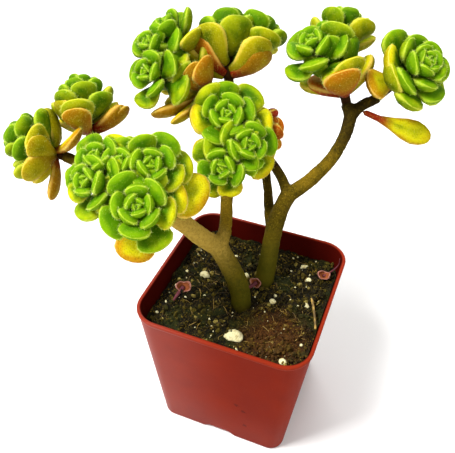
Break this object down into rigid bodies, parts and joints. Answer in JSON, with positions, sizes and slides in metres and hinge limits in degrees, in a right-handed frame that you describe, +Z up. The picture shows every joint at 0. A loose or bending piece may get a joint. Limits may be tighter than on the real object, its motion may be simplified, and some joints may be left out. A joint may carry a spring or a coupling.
{
  "type": "potted succulent",
  "caption": "Branching aeonium with thick-leaved rosettes on bare woody stems, in a small square plastic nursery pot filled with soil.",
  "frame": {"origin": "middle of the pot's underside, in the plane of its foot", "axes": "+Z up the pot, +Y away from the pot's front wall, +X to the right seen from the front"},
  "size_m": [0.1217, 0.0992, 0.1288],
  "materials": {
    "pot": "semi-gloss moulded",
    "soil": "rough crumbly",
    "bark": "matte speckled",
    "leaf": "soft downy",
    "leaf_old": "soft downy",
    "perlite": "rough porous",
    "dry_leaf": "dry wrinkled",
    "straw": "dry fibrous"
  },
  "bodies": {
    "root": {"pot": "pot", "soil": "soil", "stem_left": "bark", "stem_right": "bark", "rosettes_front": "leaf", "rosette_far_left": "leaf", "rosette_left": "leaf", "rosettes_back": "leaf", "rosettes_middle": "leaf", "rosettes_right": "leaf", "rosette_far_right": "leaf", "leaf_long": "leaf_old", "perlite_1": "perlite", "perlite_2": "perlite", "perlite_3": "perlite", "perlite_4": "perlite", "perlite_5": "perlite", "perlite_6": "perlite", "perlite_7": "perlite", "perlite_8": "perlite", "dry_leaf_1": "dry_leaf", "dry_leaf_2": "dry_leaf", "dry_leaf_3": "dry_leaf", "straw_1": "straw"}
  },
  "joints": []
}
